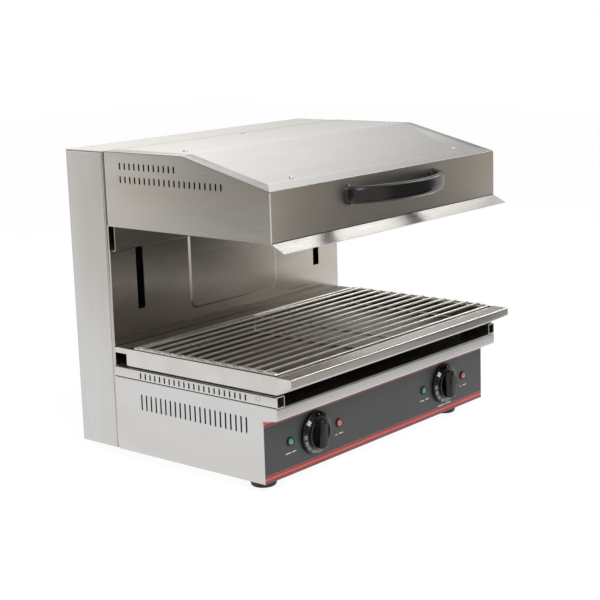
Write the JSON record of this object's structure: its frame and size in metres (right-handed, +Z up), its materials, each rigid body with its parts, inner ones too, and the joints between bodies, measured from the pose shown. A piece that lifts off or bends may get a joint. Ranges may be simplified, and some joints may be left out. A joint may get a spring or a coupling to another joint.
{
  "type": "cheese melter",
  "caption": "Counter-top electric cheese melter: a heated hood lifts on a counterweighted rear tower over a sliding grill pan with wire rack; knobs and pilot lamps in the base.",
  "frame": {"origin": "middle of the footprint's bounding box, on the surface that the feet stand on", "axes": "+X to the user's right, +Y from the user to the back, +Z up"},
  "size_m": [0.6088, 0.529, 0.5214],
  "materials": {
    "stainless": "brushed",
    "bright_stainless": "fine brushed",
    "plated_wire": "dull chrome plate",
    "screw_steel": "plain",
    "panel_print": "printed film",
    "foot_rubber": "matt",
    "zinc_steel": "zinc plated",
    "ground_steel": "ground and plated",
    "rope_steel": "stranded",
    "switch_plastic": "moulded",
    "black_trim": "moulded",
    "green_lens": "clear tinted",
    "red_lens": "clear tinted",
    "heater_tube": "oxidised",
    "mineral_wool": "fibrous",
    "black_bakelite": "gloss",
    "bushing_bronze": "sintered",
    "cast_weight": "as cast",
    "pulley_metal": "turned"
  },
  "bodies": {
    "cabinet": {"tower_side_left": "stainless", "tower_side_right": "stainless", "tower_front_panel": "stainless", "tower_top_cover": "stainless", "rear_cover": "stainless", "rear_cover_screws": "screw_steel", "base_side_left": "stainless", "base_side_right": "stainless", "base_floor": "stainless", "base_deck": "stainless", "control_panel": "stainless", "panel_overlay": "panel_print", "rail_left": "stainless", "rail_right": "stainless", "rail_screws": "screw_steel", "feet": "foot_rubber", "upper_crossbar": "zinc_steel", "lower_crossbar": "zinc_steel", "guide_rod_left": "ground_steel", "guide_rod_right": "ground_steel", "rod_nuts": "screw_steel", "pulley_brackets": "zinc_steel", "pulley_axles": "screw_steel", "weight_guides": "zinc_steel", "rope_wraps": "rope_steel", "hood_rope_runs": "rope_steel", "weight_rope_runs": "rope_steel", "thermostat_left": "switch_plastic", "thermostat_right": "switch_plastic", "lamp_bezels": "black_trim", "green_lenses": "green_lens", "red_lenses": "red_lens", "terminal_block": "switch_plastic", "cable_gland": "black_trim"},
    "hood": {"hood_shell": "stainless", "hood_top_cover": "stainless", "hood_cover_screws": "screw_steel", "hood_rear_plate": "stainless", "hood_reflector": "stainless", "front_deflector": "bright_stainless", "heater_left": "heater_tube", "heater_right": "heater_tube", "heater_clips": "zinc_steel", "heater_insulators": "switch_plastic", "hood_insulation": "mineral_wool", "handle": "black_bakelite", "handle_screws": "screw_steel", "lift_arm_left": "zinc_steel", "lift_arm_right": "zinc_steel", "arm_bolts": "screw_steel", "guide_bushings": "bushing_bronze"},
    "counterweight": {"counterweight": "cast_weight"},
    "pulley_left": {"pulley_left": "pulley_metal"},
    "pulley_right": {"pulley_right": "pulley_metal"},
    "knob_left": {"knob_left": "black_bakelite", "shaft_left": "screw_steel"},
    "knob_right": {"knob_right": "black_bakelite", "shaft_right": "screw_steel"},
    "grill_pan": {"grill_pan": "stainless"},
    "wire_rack": {"wire_rack": "plated_wire"}
  },
  "joints": [
    {"name": "hood_lift", "type": "slide", "parent": "cabinet", "child": "hood", "axis": [0, 0, 1], "range_m": [-0.15, 0], "deforming": ["hood_rope_runs"]},
    {"name": "counterweight_lift", "type": "slide", "parent": "cabinet", "child": "counterweight", "axis": [0, 0, 1], "range_m": [0, 0.15], "deforming": ["weight_rope_runs"]},
    {"name": "pulley_left_spin", "type": "hinge", "parent": "cabinet", "child": "pulley_left", "pos_m": [-0.19, 0.2095, 0.4665], "axis": [1, 0, 0], "range_deg": [0, 430]},
    {"name": "pulley_right_spin", "type": "hinge", "parent": "cabinet", "child": "pulley_right", "pos_m": [0.19, 0.2095, 0.4665], "axis": [1, 0, 0], "range_deg": [0, 430]},
    {"name": "knob_left_turn", "type": "hinge", "parent": "cabinet", "child": "knob_left", "pos_m": [-0.18, -0.1755, 0.0689], "axis": [0, 1, 0], "range_deg": [0, 270]},
    {"name": "knob_right_turn", "type": "hinge", "parent": "cabinet", "child": "knob_right", "pos_m": [0.18, -0.1755, 0.0689], "axis": [0, 1, 0], "range_deg": [0, 270]},
    {"name": "pan_slide", "type": "slide", "parent": "cabinet", "child": "grill_pan", "axis": [0, -1, 0], "range_m": [0, 0.25]},
    {"name": "rack_lift", "type": "slide", "parent": "grill_pan", "child": "wire_rack", "axis": [0, 0, 1], "range_m": [0, 0.03]}
  ],
  "couplings": [
    {"joint": "counterweight_lift", "follows": "hood_lift", "ratio": -1},
    {"joint": "pulley_left_spin", "follows": "hood_lift", "rad_per_m": -50},
    {"joint": "pulley_right_spin", "follows": "hood_lift", "rad_per_m": -50}
  ]
}
